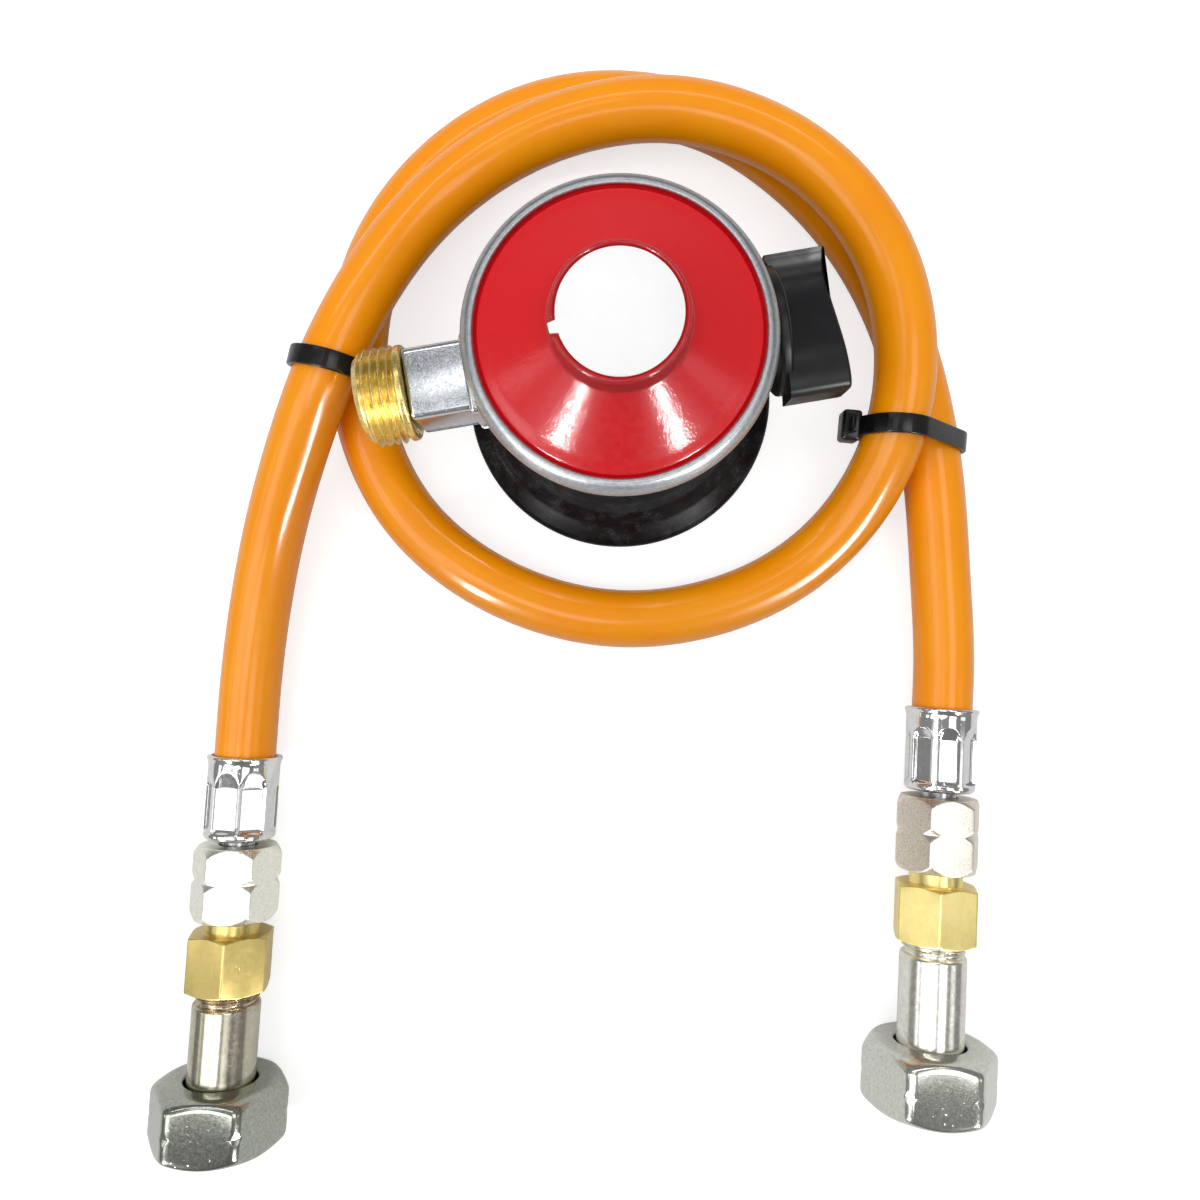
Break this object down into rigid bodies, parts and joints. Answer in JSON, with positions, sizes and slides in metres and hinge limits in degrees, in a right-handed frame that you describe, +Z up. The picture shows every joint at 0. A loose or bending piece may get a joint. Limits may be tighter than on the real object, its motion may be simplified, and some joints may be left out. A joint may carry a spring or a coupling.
{
  "type": "gas regulator and hose kit",
  "caption": "Clip-on gas cylinder regulator with a tap knob, and a looped rubber hose that ends in crimped ferrules and union nuts, held by cable ties.",
  "frame": {"origin": "on the table, under the middle of the regulator's own box; the box leaves out the hose and what is on it", "axes": "+X towards the tap knob, -X out of the brass outlet, +Z up along the regulator's axis; the hose ends run out along -Y"},
  "size_m": [0.2355, 0.2791, 0.0775],
  "materials": {
    "zinc": "die-cast zinc, satin",
    "plated_steel": "zinc or nickel plated, bright",
    "steel": "machined",
    "brass": "machined",
    "red_enamel": "gloss red enamel",
    "white_label": "plain white, bare",
    "black_plastic": "moulded, semi-gloss",
    "black_rubber": "matt",
    "orange_hose": "smooth glossy rubber"
  },
  "bodies": {
    "hose_kit": {"hose_tube": "orange_hose", "ferrule_a": "plated_steel", "ferrule_b": "plated_steel", "hose_tail_a": "steel", "hose_tail_b": "steel", "adapter_a": "brass", "adapter_b": "brass", "nipple_a": "plated_steel", "nipple_b": "plated_steel", "seal_ring_a": "black_rubber", "seal_ring_b": "black_rubber", "cable_tie_left": "black_plastic", "cable_tie_right": "black_plastic"},
    "regulator": {"body_casting": "zinc", "outlet_neck": "zinc", "inlet_hub": "zinc", "cap_cover": "red_enamel", "cover_gasket": "black_rubber", "label_disc": "white_label", "outlet_stub": "brass", "inlet_seal": "black_rubber", "spindle_oring": "black_rubber"},
    "skirt": {"locking_skirt": "black_plastic"},
    "ball_1": {"locking_ball_1": "steel"},
    "ball_2": {"locking_ball_2": "steel"},
    "ball_3": {"locking_ball_3": "steel"},
    "tap": {"knob": "black_plastic", "knob_spindle": "steel"},
    "pin": {"actuator_pin": "brass"},
    "swivel_a": {"swivel_nut_a": "plated_steel"},
    "swivel_b": {"swivel_nut_b": "plated_steel"},
    "union_a": {"union_nut_a": "plated_steel"},
    "union_b": {"union_nut_b": "plated_steel"}
  },
  "joints": [
    {"name": "regulator_lift", "type": "slide", "parent": "hose_kit", "child": "regulator", "axis": [0, 0, 1], "range_m": [0, 0.12]},
    {"name": "skirt_slide", "type": "slide", "parent": "regulator", "child": "skirt", "axis": [0, 0, 1], "range_m": [0, 0.006], "stiffness_N_per_m": 800, "springref_m": -0.012},
    {"name": "tap_turn", "type": "hinge", "parent": "regulator", "child": "tap", "pos_m": [0.0045, 0, 0.0422], "axis": [1, 0, 0], "range_deg": [0, 90]},
    {"name": "pin_slide", "type": "slide", "parent": "regulator", "child": "pin", "axis": [0, 0, -1], "range_m": [0, 0.0015]},
    {"name": "swivel_a_turn", "type": "hinge", "parent": "hose_kit", "child": "swivel_a", "pos_m": [-0.11343, -0.10664, 0.01154], "axis": [-0.2125, -0.9748, 0.068], "continuous": true},
    {"name": "union_a_turn", "type": "hinge", "parent": "hose_kit", "child": "union_a", "pos_m": [-0.12597, -0.16416, 0.01555], "axis": [-0.2125, -0.9748, 0.068], "continuous": true},
    {"name": "swivel_b_turn", "type": "hinge", "parent": "hose_kit", "child": "swivel_b", "pos_m": [0.06655, -0.12434, 0.01178], "axis": [-0.2252, -0.9714, 0.0758], "continuous": true},
    {"name": "union_b_turn", "type": "hinge", "parent": "hose_kit", "child": "union_b", "pos_m": [0.05263, -0.18437, 0.01646], "axis": [-0.2252, -0.9714, 0.0758], "continuous": true},
    {"name": "ball_1_slide", "type": "slide", "parent": "regulator", "child": "ball_1", "axis": [0.8776, 0.4794, 0], "range_m": [0, 0.001]},
    {"name": "ball_2_slide", "type": "slide", "parent": "regulator", "child": "ball_2", "axis": [-0.854, 0.5203, 0], "range_m": [0, 0.001]},
    {"name": "ball_3_slide", "type": "slide", "parent": "regulator", "child": "ball_3", "axis": [-0.0236, -0.9997, 0], "range_m": [0, 0.001]}
  ],
  "couplings": [
    {"joint": "ball_1_slide", "follows": "skirt_slide", "ratio": 0.16667},
    {"joint": "ball_2_slide", "follows": "skirt_slide", "ratio": 0.16667},
    {"joint": "ball_3_slide", "follows": "skirt_slide", "ratio": 0.16667},
    {"joint": "pin_slide", "follows": "tap_turn", "m_per_rad": 0.0009549}
  ]
}
